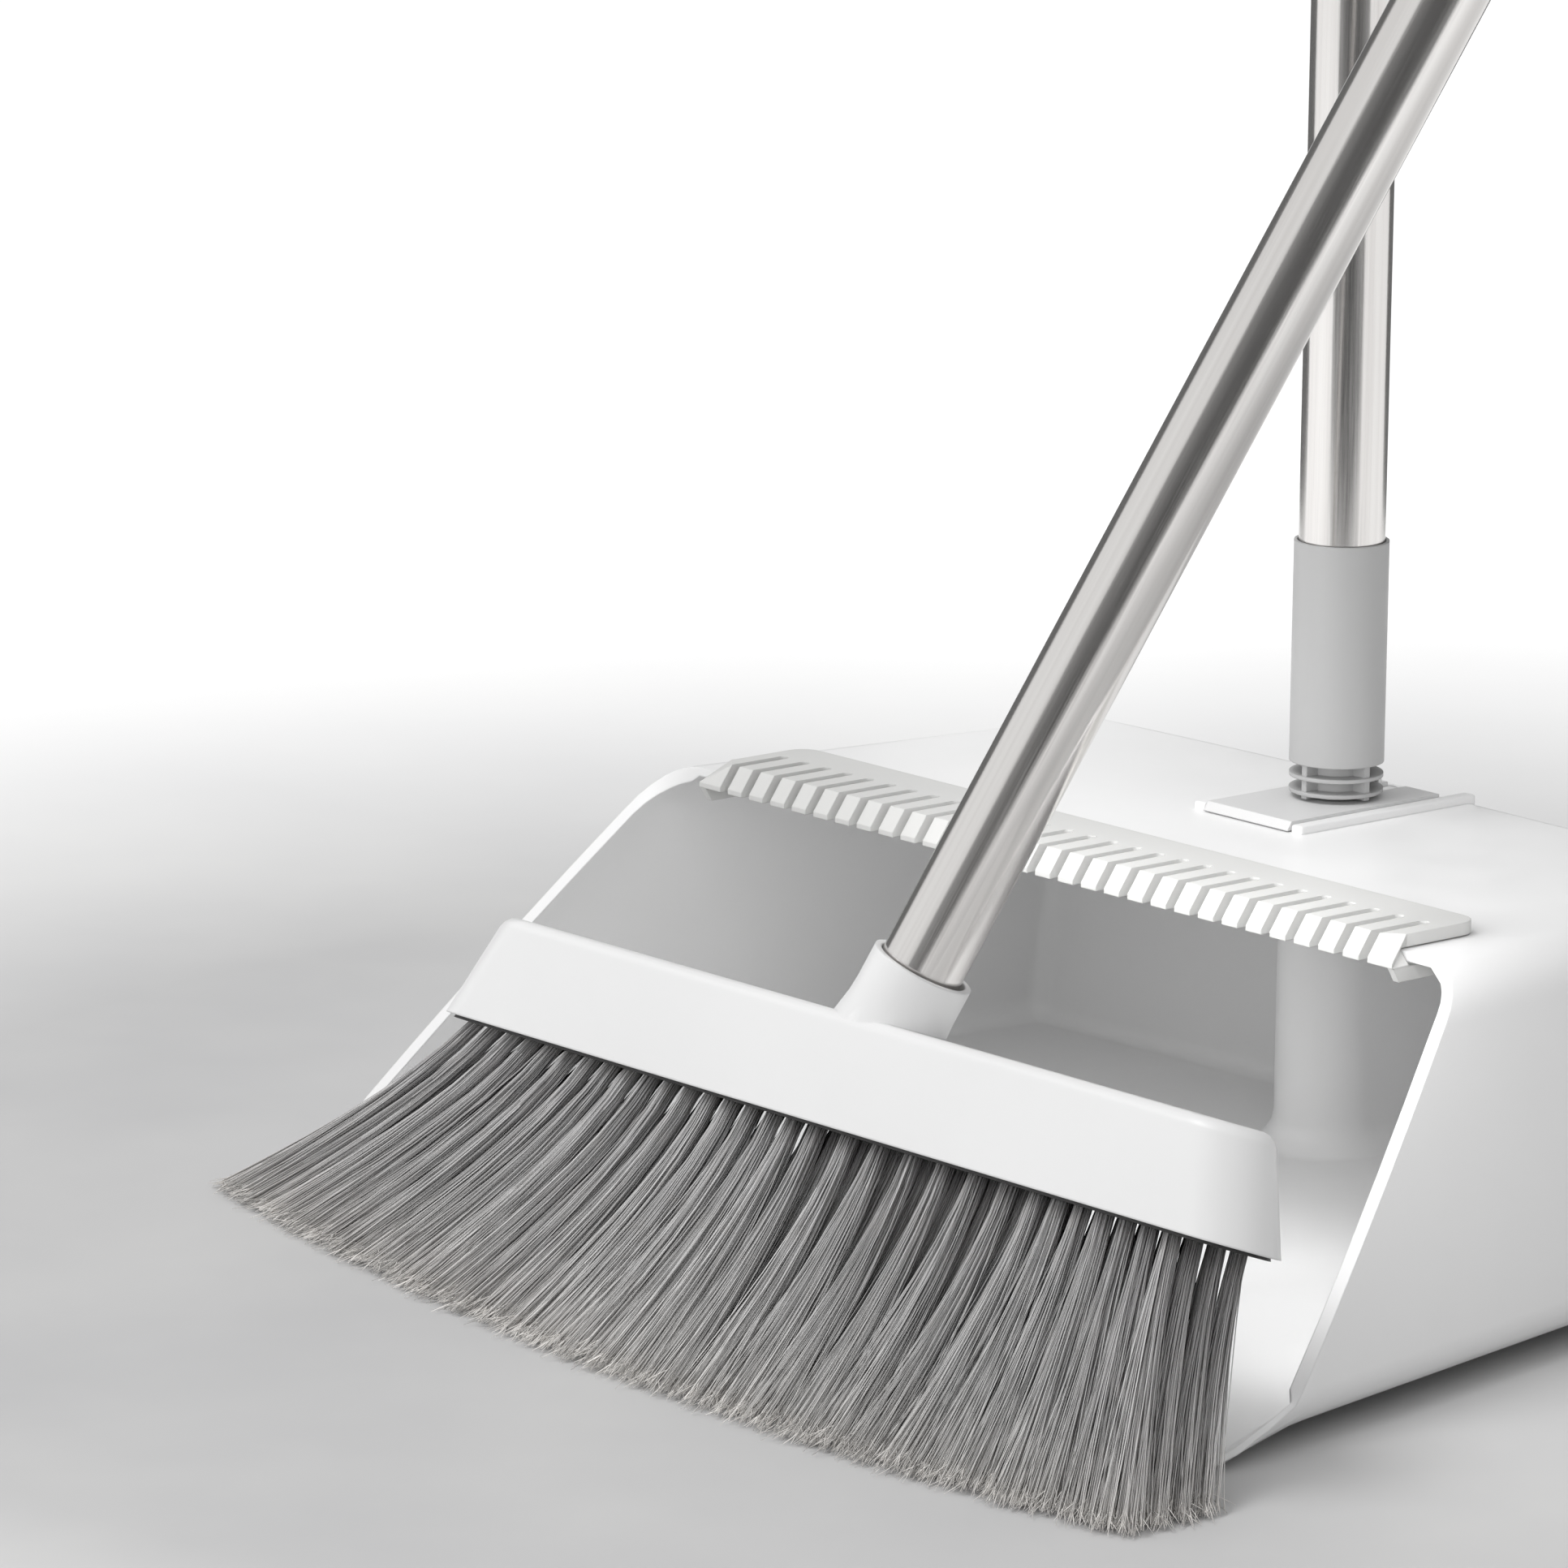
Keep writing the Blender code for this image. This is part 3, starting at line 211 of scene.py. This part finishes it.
def steel(name, axis, rough=0.15):
    """Polished stainless tube with faint lengthwise drawing marks."""
    g = Graph(name)
    along = lengthwise(g, axis)
    fine = g.noise(along, 2600.0, 3.0, 0.6)
    broad = g.noise(along, 420.0, 2.0)
    tone = g.ramp(broad, [(0.3, (0.68, 0.66, 0.645)), (0.7, (0.77, 0.755, 0.74))])
    g.join(tone, g.shader.inputs["Base Color"])
    g.join(g.spread(fine, rough - 0.05, rough + 0.09, 0.25, 0.75), g.shader.inputs["Roughness"])
    g.join(g.bump(fine, 0.10, 0.00005, g.rounded(0.0002, 4)), g.shader.inputs["Normal"])
    g.shader.inputs["Metallic"].default_value = 1.0
    return g.material


def bristle_fibre(name):
    """Grey filament, dark at the block and paler to the tips, each strand its own shade."""
    g = Graph(name)
    along = g.add("ShaderNodeAttribute", attribute_name="along").outputs["Fac"]
    shade = g.add("ShaderNodeAttribute", attribute_name="shade").outputs["Fac"]
    colour = g.ramp(along, [(0.0, (0.33, 0.326, 0.326)), (0.25, (0.42, 0.415, 0.415)),
                            (0.65, (0.47, 0.464, 0.460)), (0.90, (0.55, 0.538, 0.525)),
                            (1.0, (0.76, 0.735, 0.705))])
    lift = g.spread(shade, 0.55, 1.75)
    scaled = g.add("ShaderNodeVectorMath", operation="SCALE")
    g.join(colour, scaled.inputs[0])
    g.join(lift, scaled.inputs["Scale"])
    flecks = g.noise(g.place(), 260.0, 2.0)
    share = g.spread(flecks, 0.0, 0.35, 0.45, 0.75)
    g.join(g.mix(share, scaled.outputs[0], (0.42, 0.40, 0.385, 1.0)), g.shader.inputs["Base Color"])
    g.join(g.spread(flecks, 0.42, 0.58, 0.3, 0.7), g.shader.inputs["Roughness"])
    g.shader.inputs["Sheen Weight"].default_value = 0.25
    return g.material


# ---------------------------------------------------------------- smooth surfaces
def smoothing(limit):
    """Node group: every face smooth, and edges sharp where they turn more than limit."""
    tree = bpy.data.node_groups.new("smooth_by_angle", "GeometryNodeTree")
    tree.interface.new_socket("Geometry", in_out="INPUT", socket_type="NodeSocketGeometry")
    tree.interface.new_socket("Geometry", in_out="OUTPUT", socket_type="NodeSocketGeometry")
    start = tree.nodes.new("NodeGroupInput")
    end = tree.nodes.new("NodeGroupOutput")
    faces = tree.nodes.new("GeometryNodeSetShadeSmooth")
    faces.domain = "FACE"
    edges = tree.nodes.new("GeometryNodeSetShadeSmooth")
    edges.domain = "EDGE"
    edges.inputs["Shade Smooth"].default_value = False
    angle = tree.nodes.new("GeometryNodeInputMeshEdgeAngle")
    over = tree.nodes.new("FunctionNodeCompare")
    over.data_type = "FLOAT"
    over.operation = "GREATER_THAN"
    over.inputs[1].default_value = math.radians(limit)
    tree.links.new(start.outputs[0], faces.inputs["Geometry"])
    tree.links.new(faces.outputs[0], edges.inputs["Geometry"])
    tree.links.new(angle.outputs["Unsigned Angle"], over.inputs[0])
    tree.links.new(over.outputs[0], edges.inputs["Selection"])
    tree.links.new(edges.outputs[0], end.inputs[0])
    return tree


def finish_node(name, surface):
    """Gives a CAD node its material and smooth shading, with its shape as it is."""
    obj = NODES[name]
    if "custom_normal" in obj.data.attributes:
        obj.data.attributes.remove(obj.data.attributes["custom_normal"])
    obj.data.materials.clear()
    obj.data.materials.append(surface)
    weld = obj.modifiers.new("weld", "WELD")
    weld.merge_threshold = 0.000002
    smooth = obj.modifiers.new("smooth", "NODES")
    smooth.node_group = SMOOTH
    even = obj.modifiers.new("even", "WEIGHTED_NORMAL")
    even.keep_sharp = True
    even.weight = 100


# ---------------------------------------------------------------- bristles
TUFTS = 31
STRANDS = 112           # filaments in a tuft
STRAND_STEPS = 8
TUFT_RADIUS = 0.00215
TUFT_SKEW = 0.0017      # how far each row of tufts is set over from the next
STRAND_RADIUS = 0.00018
STRAND_TAPER = 0.35
FLOOR_CLEAR = 0.0003
ROOT_SINK = 0.0015      # how far the filaments start inside the block
CLUMPS = 6              # bunches that a tuft's filaments gather in at their tips
CLUMP_ALONG = 0.12      # how far a bunch strays, in shares of the tufts' pitch
CLUMP_ACROSS = 0.14     # the same, in shares of the row's depth
STRAY = 0.12            # how far a single filament strays from its bunch
TIP_ALONG = 0.56        # how wide a tuft fans out at its tips, along the row
TIP_ACROSS = 0.52
SIDE_FRONT, SIDE_REAR = -0.25, 1.2      # limits of a tip's share from front to rear
LEFT_SWEEP = 0.006      # how far the left tips reach past the row's solid
RIGHT_TUCK = 0.008      # how far the right tips stay short of it
SQUARE_LEFT = 0.07      # how stiffly the left tufts leave the block
SQUARE_GAIN = 0.22      # how much more stiffly the right ones do
WAVE_ALONG, WAVE_ACROSS = 0.0007, 0.0005
SHADE_MIDDLE, SHADE_STRAND, SHADE_TUFT = 0.42, 0.24, 0.03
CREST = 0.33            # where a filament's bend starts, as a share of its length
SWEEP = 0.46            # how far back from the tip its bend ends
ROWS = ["bristle_row_%d" % number for number in (1, 2, 3, 4)]


def outline(points):
    """Front and rear edge of a ring of points, each sorted along X."""
    pairs = points[np.argsort(points[:, 0])].reshape(-1, 2, 3)
    order = np.argsort(pairs[:, :, 1], axis=1)[:, :, None]
    pairs = np.take_along_axis(pairs, order, axis=1)
    return pairs[:, 0], pairs[:, 1]


def row_edges(name):
    """The root and tip outlines of a row's CAD solid."""
    points = np.array([vertex.co for vertex in NODES[name].data.vertices], float)
    points = np.unique(np.round(points, 6), axis=0)
    root = points[points[:, 2] > points[:, 2].max() - 0.003]
    tips = points[points[:, 2] < 0.0006]
    return outline(root), outline(tips)


def along_edges(edges, along, side):
    """Points at a share along the row and a share from its front to its rear."""
    stations = np.linspace(0.0, 1.0, len(edges[0]))
    found = []
    for axis in range(3):
        front = np.interp(along, stations, edges[0][:, axis])
        rear = np.interp(along, stations, edges[1][:, axis])
        found.append(front + (rear - front) * side)
    return np.stack(found, axis=-1)


def strand_mesh(name, paths, radii, shade, along):
    """Closed three-sided filaments along paths, as one mesh."""
    count, steps = paths.shape[:2]
    heading = np.gradient(paths, axis=1)
    heading /= np.linalg.norm(heading, axis=2, keepdims=True)
    first = np.cross(heading, np.array([0.31, 0.95, 0.05]))
    first /= np.linalg.norm(first, axis=2, keepdims=True)
    second = np.cross(heading, first)
    angles = np.arange(3) * math.tau / 3
    ring = first[:, :, None] * np.cos(angles)[:, None] + second[:, :, None] * np.sin(angles)[:, None]
    verts = paths[:, :, None] + ring * radii[:, :, None, None]
    base = np.arange(count)[:, None, None] * steps * 3
    low = np.arange(steps - 1)[None, :, None] * 3 + np.arange(3)[None, None]
    beside = np.arange(steps - 1)[None, :, None] * 3 + (np.arange(3)[None, None] + 1) % 3
    quads = np.stack([low, beside, beside + 3, low + 3], axis=-1)[0][None] + base[..., None]
    quads = quads.reshape(-1, 4)
    ends = np.arange(count)[:, None] * steps * 3
    caps = np.concatenate([ends + np.array([2, 1, 0]), ends + (steps - 1) * 3 + np.array([0, 1, 2])])
    mesh = bpy.data.meshes.new(name)
    mesh.vertices.add(verts.size // 3)
    mesh.vertices.foreach_set("co", verts.astype(np.float32).ravel())
    loops = np.concatenate([quads.ravel(), caps.ravel()])
    mesh.loops.add(len(loops))
    mesh.loops.foreach_set("vertex_index", loops.astype(np.int32))
    sizes = np.concatenate([np.full(len(quads), 4), np.full(len(caps), 3)])
    mesh.polygons.add(len(sizes))
    mesh.polygons.foreach_set("loop_start", (np.cumsum(sizes) - sizes).astype(np.int32))
    mesh.update(calc_edges=True)
    mesh.polygons.foreach_set("use_smooth", np.ones(len(sizes), bool))
    for label, values in (("shade", shade), ("along", along)):
        layer = mesh.attributes.new(label, "FLOAT", "POINT")
        spread = np.repeat(np.broadcast_to(values, (count, steps))[:, :, None], 3, axis=2)
        layer.data.foreach_set("value", spread.astype(np.float32).ravel())
    mesh.validate()
    made = bpy.data.objects.new(name, mesh)
    SCENE.collection.objects.link(made)
    return made


def bend(root, leave, tip, steps, square):
    """Smooth paths that leave the block squarely and sweep to the tips."""
    length = np.linalg.norm(tip - root, axis=1, keepdims=True)
    first = root + leave * length * square[:, None] + (tip - root) * (CREST - square)[:, None]
    second = tip + (first - tip) * SWEEP
    t = np.linspace(0.0, 1.0, steps)[None, :, None]
    a, b, c, d = (point[:, None] for point in (root, first, second, tip))
    return a * (1 - t) ** 3 + 3 * b * t * (1 - t) ** 2 + 3 * c * t ** 2 * (1 - t) + d * t ** 3


def bristle_row(name, seed):
    """A row of tufts in place of one CAD row. Gives its filaments' paths and shades."""
    rng = np.random.RandomState(seed)
    root_edges, tip_edges = row_edges(name)
    across = root_edges[1][0] - root_edges[0][0]
    across /= np.linalg.norm(across)
    leave = np.cross(across, np.array([-1.0, 0.0, 0.0]))
    leave *= -np.sign(leave[2])
    tuft = np.repeat(np.arange(TUFTS), STRANDS)
    count = len(tuft)
    centre = (tuft + 0.5) / TUFTS
    radius = np.sqrt(rng.rand(count))
    turn = rng.rand(count) * math.tau
    root = along_edges(root_edges, centre, np.full(count, 0.5))
    root[:, 0] += radius * np.cos(turn) * TUFT_RADIUS + TUFT_SKEW * (ROWS.index(name) - 1.5)
    root += across * (radius * np.sin(turn) * TUFT_RADIUS)[:, None]
    root -= leave * ROOT_SINK
    clump = rng.randint(0, CLUMPS, count)
    clump_x = rng.normal(0.0, CLUMP_ALONG, (TUFTS, CLUMPS))[tuft, clump]
    clump_y = rng.normal(0.0, CLUMP_ACROSS, (TUFTS, CLUMPS))[tuft, clump]
    tip_x = TIP_ALONG * radius * np.cos(turn) + clump_x + rng.normal(0.0, STRAY, count)
    tip_y = 0.5 + TIP_ACROSS * radius * np.sin(turn) + clump_y + rng.normal(0.0, STRAY, count)
    place = np.clip(centre + tip_x / TUFTS, 0.0, 1.0)
    tip = along_edges(tip_edges, place, np.clip(tip_y, SIDE_FRONT, SIDE_REAR))
    short = np.abs(rng.normal(0.0, 0.022, count)) + 0.004
    tip[:, 0] -= LEFT_SWEEP * (1.0 - centre) ** 2 + RIGHT_TUCK * centre ** 6
    tip[:, 2] = FLOOR_CLEAR
    paths = bend(root, leave, tip, STRAND_STEPS + 1, SQUARE_LEFT + SQUARE_GAIN * centre)
    wave = np.sin(np.linspace(0.0, math.pi, STRAND_STEPS + 1))[None]
    paths[:, :, 0] += wave * rng.normal(0.0, WAVE_ALONG, (count, 1))
    paths[:, :, 1] += wave * rng.normal(0.0, WAVE_ACROSS, (count, 1))
    last = paths[:, -1] - paths[:, -2]
    paths[:, -1] -= last * np.clip(short * 9, 0, 0.9)[:, None]
    paths[:, :, 2] = np.maximum(paths[:, :, 2], FLOOR_CLEAR)
    t = np.linspace(0.0, 1.0, STRAND_STEPS + 1)[None]
    radii = STRAND_RADIUS * (1.0 - STRAND_TAPER * t) * (0.8 + 0.4 * rng.rand(count, 1))
    shade = SHADE_MIDDLE + rng.normal(0.0, SHADE_STRAND, (count, 1))
    shade = np.clip(shade + rng.normal(0.0, SHADE_TUFT, (TUFTS, 1))[tuft], 0.0, 1.0)
    row = strand_mesh(name.replace("row", "tufts"), paths, radii, shade, t)
    row.data.materials.append(FIBRE)
    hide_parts(name)
    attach(row, "broom")
    return paths, shade


FLAG_BACK, FLAG_AHEAD = 0.003, 0.0015   # a split end starts behind its tip and ends ahead
FLAG_STRAY = 0.0016
FLAG_RADIUS = 0.00011


def bristle_flags(rows, seed):
    """Fine split ends that make the pale fringe along the floor."""
    rng = np.random.RandomState(seed)
    starts, ends, shades = [], [], []
    for paths, shade in rows:
        heading = paths[:, -1] - paths[:, -2]
        heading /= np.linalg.norm(heading, axis=1, keepdims=True)
        starts.append(paths[:, -1] - heading * FLAG_BACK)
        stray = rng.normal(0.0, FLAG_STRAY, paths[:, -1].shape)
        stray[:, 2] = np.abs(stray[:, 2]) * 0.4
        ends.append(paths[:, -1] + heading * FLAG_AHEAD + stray)
        shades.append(shade)
    start, end, shade = (np.concatenate(part) for part in (starts, ends, shades))
    t = np.linspace(0.0, 1.0, 3)[None, :, None]
    paths = start[:, None] * (1 - t) + end[:, None] * t
    paths[:, :, 2] = np.maximum(paths[:, :, 2], FLOOR_CLEAR)
    radii = np.full(paths.shape[:2], FLAG_RADIUS) * np.array([[1.0, 0.9, 0.6]])
    flags = strand_mesh("bristle_flags", paths, radii, shade, np.array([[0.95, 1.0, 1.0]]))
    flags.data.materials.append(FIBRE)
    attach(flags, "broom")


# ---------------------------------------------------------------- floor and light
def floor_material():
    g = Graph("floor_painted_glow")
    place = g.place()
    away = g.add("ShaderNodeVectorMath", operation="LENGTH")
    g.join(place, away.inputs[0])
    # painted light: further from the middle the floor turns white and glows, though it is no lamp
    painted_glow_fade = g.spread(away.outputs["Value"], 0.0, 1.0, 0.35, 0.80)
    clouds = g.noise(place, 5.0, 4.0, 0.55)
    near = g.ramp(clouds, [(0.3, (0.50, 0.50, 0.505)), (0.7, (0.58, 0.578, 0.575))])
    g.join(g.mix(painted_glow_fade, near, (0.97, 0.97, 0.97, 1.0)), g.shader.inputs["Base Color"])
    # painted glow: emission that grows with distance from the middle
    g.shader.inputs["Emission Color"].default_value = (1.0, 1.0, 1.0, 1.0)
    g.join(g.maths("MULTIPLY", painted_glow_fade, 0.22), g.shader.inputs["Emission Strength"])
    g.shader.inputs["Roughness"].default_value = 0.55
    g.shader.inputs["Specular IOR Level"].default_value = 0.25
    return g.material


FLOOR_HALF = 12.0


def floor():
    size = FLOOR_HALF
    mesh = bpy.data.meshes.new("floor")
    low = CAD_BOX[0].z - 0.0002
    corners = [(-size, -size, low), (size, -size, low), (size, size, low), (-size, size, low)]
    mesh.from_pydata(corners, [], [(0, 1, 2, 3)])
    mesh.materials.append(floor_material())
    made = bpy.data.objects.new("floor", mesh)
    SCENE.collection.objects.link(made)


SKY_LEFT = 0.88
SKY_RIGHT = 0.48


def sky():
    """Soft studio light from all round, a little dimmer from the camera's right."""
    world = bpy.data.worlds.new("studio")
    SCENE.world = world
    world.use_nodes = True
    nodes, links = world.node_tree.nodes, world.node_tree.links
    back = nodes["Background"]
    place = nodes.new("ShaderNodeTexCoord")
    dot = nodes.new("ShaderNodeVectorMath")
    dot.operation = "DOT_PRODUCT"
    turn = math.radians(CAMERA_TURN)
    dot.inputs[1].default_value = (math.cos(turn), math.sin(turn), 0.0)
    share = nodes.new("ShaderNodeMapRange")
    share.inputs["From Min"].default_value = -0.2
    share.inputs["From Max"].default_value = 0.9
    share.inputs["To Min"].default_value = SKY_LEFT
    share.inputs["To Max"].default_value = SKY_RIGHT
    links.new(place.outputs["Generated"], dot.inputs[0])
    links.new(dot.outputs["Value"], share.inputs["Value"])
    links.new(share.outputs["Result"], back.inputs["Strength"])
    back.inputs["Color"].default_value = (1.0, 1.0, 1.0, 1.0)


def flag(name, turn, distance, width, height, level, share=0.0):
    """A studio card that only gloss sees, standing in the camera's direction turned by turn."""
    g = Graph(name + "_surface")
    place = g.add("ShaderNodeTexCoord").outputs["Generated"]
    parts = g.add("ShaderNodeSeparateXYZ")
    g.join(place, parts.inputs[0])
    right_half = g.maths("MAXIMUM", g.maths("SUBTRACT", parts.outputs["X"], 0.5), 0.0)
    left_half = g.maths("MAXIMUM", g.maths("SUBTRACT", 0.5, parts.outputs["X"]), 0.0)
    edge = g.maths("ADD", right_half, left_half)
    glow = g.add("ShaderNodeEmission")
    g.join(g.spread(edge, level, level + share, 0.1, 0.5), glow.inputs["Strength"])
    g.join(glow.outputs[0], g.tree.nodes["Material Output"].inputs["Surface"])
    mesh = bpy.data.meshes.new(name)
    half = width / 2
    corners = [(-half, 0, 0), (half, 0, 0), (half, 0, height), (-half, 0, height)]
    mesh.from_pydata(corners, [], [(0, 1, 2, 3)])
    mesh.materials.append(g.material)
    made = bpy.data.objects.new(name, mesh)
    angle = math.radians(CAMERA_TURN + turn)
    made.location = (math.sin(angle) * distance, -math.cos(angle) * distance, CAD_BOX[0].z)
    made.rotation_euler = (0.0, 0.0, angle)
    SCENE.collection.objects.link(made)
    made.visible_camera = False
    made.visible_diffuse = False
    made.visible_shadow = False
    made.visible_transmission = False


def lamp(name, at, back, size, power, gloss=True):
    """A rectangular lamp that shines away from the direction called back."""
    data = bpy.data.lights.new(name, "AREA")
    data.shape = "RECTANGLE"
    data.size, data.size_y = size
    data.energy = power
    made = bpy.data.objects.new(name, data)
    made.location = at
    made.rotation_mode = "QUATERNION"
    made.rotation_quaternion = back.to_track_quat("Z", "Y")
    made.visible_camera = False
    made.visible_glossy = gloss
    SCENE.collection.objects.link(made)


def softbox(name, offset, size, power):
    """A lamp that faces the middle of the object, near the floor."""
    middle = (CAD_BOX[0] + CAD_BOX[1]) / 2
    middle.z = 0.1
    lamp(name, middle + offset, offset, size, power)


def studio():
    """Lamps and cards, placed by the camera's right, the way towards it, and up."""
    turn = math.radians(CAMERA_TURN)
    right = Vector((math.cos(turn), math.sin(turn), 0.0))
    near = Vector((math.sin(turn), -math.cos(turn), 0.0))
    up = Vector((0.0, 0.0, 1.0))
    softbox("key", right * -1.1 + near * 0.2 + up * 2.2, (1.1, 1.1), 24.0)
    softbox("front", near * 2.2 + right * -1.0 + up * 0.5, (1.2, 0.7), 1.0)
    low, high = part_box("pan_body")
    mouth = Vector(((low.x + high.x) / 2 + 0.09, low.y + 0.060, high.z + 0.035))
    lamp("mouth_fill", mouth, Vector((0.0, -0.80, 0.60)), (0.22, 0.05), 0.13, gloss=False)
    flag("flag_dark", 0.0, 0.80, 1.45, 1.6, 0.11, 0.22)
    flag("flag_edge_left", -150.0, 0.9, 0.9, 1.6, 0.16)
    flag("flag_edge_right", 150.0, 0.9, 0.9, 1.6, 0.16)


# ---------------------------------------------------------------- the set
camera()
SMOOTH = smoothing(32.0)
WHITE = plastic("white_moulding", (0.83, 0.83, 0.83), 0.34, edge=0.0007)
# painted shade: a darker copy of the white moulding, for the dimmer light on the broom head's front face
HEAD_WHITE_PAINTED_SHADE = plastic("head_moulding_painted_shade", (0.765, 0.765, 0.765), 0.33, edge=0.0009)
COMB_GREY = plastic("comb_moulding", (0.60, 0.60, 0.59), 0.42, edge=0.0005)
NECK_GREY = plastic("neck_moulding", (0.43, 0.43, 0.43), 0.38, edge=0.0005)
# painted shade: the neck plate is the white moulding, made grey for the shade it sits in by the neck
PLATE_PAINTED_SHADE = plastic("plate_moulding_painted_shade", (0.66, 0.66, 0.66), 0.38, edge=0.0005)
GRIP_GREY = plastic("grip_rubber", (0.40, 0.40, 0.395), 0.62, edge=0.0008, grain=0.25, grain_scale=700.0)
BLOCK_GREY = plastic("block_moulding", (0.045, 0.044, 0.044), 0.55, edge=0.0003)
PAN_STEEL = steel("pan_tube_steel", PAN_AXIS)
BROOM_STEEL = steel("broom_tube_steel", TUBE_AXIS)
SCREW_STEEL = steel("screw_steel", (0.0, 0.0, 1.0), 0.3)
FIBRE = bristle_fibre("bristle_fibre")

SURFACES = {
    "pan_body": WHITE, "release_tab": WHITE, "broom_head": HEAD_WHITE_PAINTED_SHADE, "comb_strip": COMB_GREY,
    "neck_plate": PLATE_PAINTED_SHADE, "neck_sleeve": NECK_GREY, "socket_peg": NECK_GREY, "broom_clip": NECK_GREY,
    "pan_tube_plug": NECK_GREY, "pan_tube_coupler": NECK_GREY, "pan_grip_cap": NECK_GREY,
    "broom_tube_plug": NECK_GREY, "broom_tube_coupler": NECK_GREY, "broom_grip_cap": NECK_GREY,
    "pan_grip": GRIP_GREY, "broom_grip": GRIP_GREY, "bristle_block": BLOCK_GREY,
    "pan_tube_lower": PAN_STEEL, "pan_tube_upper": PAN_STEEL,
    "broom_tube_lower": BROOM_STEEL, "broom_tube_upper": BROOM_STEEL,
}
for number in (1, 2, 3, 4):
    SURFACES["block_screw_%d" % number] = SCREW_STEEL
SURFACES["neck_screw"] = SCREW_STEEL

for node_name, node_surface in SURFACES.items():
    finish_node(node_name, node_surface)
made_rows = [bristle_row(row_name, 40 + index) for index, row_name in enumerate(ROWS)]
bristle_flags(made_rows, 7)
floor()
sky()
studio()
SCENE.view_settings.view_transform = "Standard"
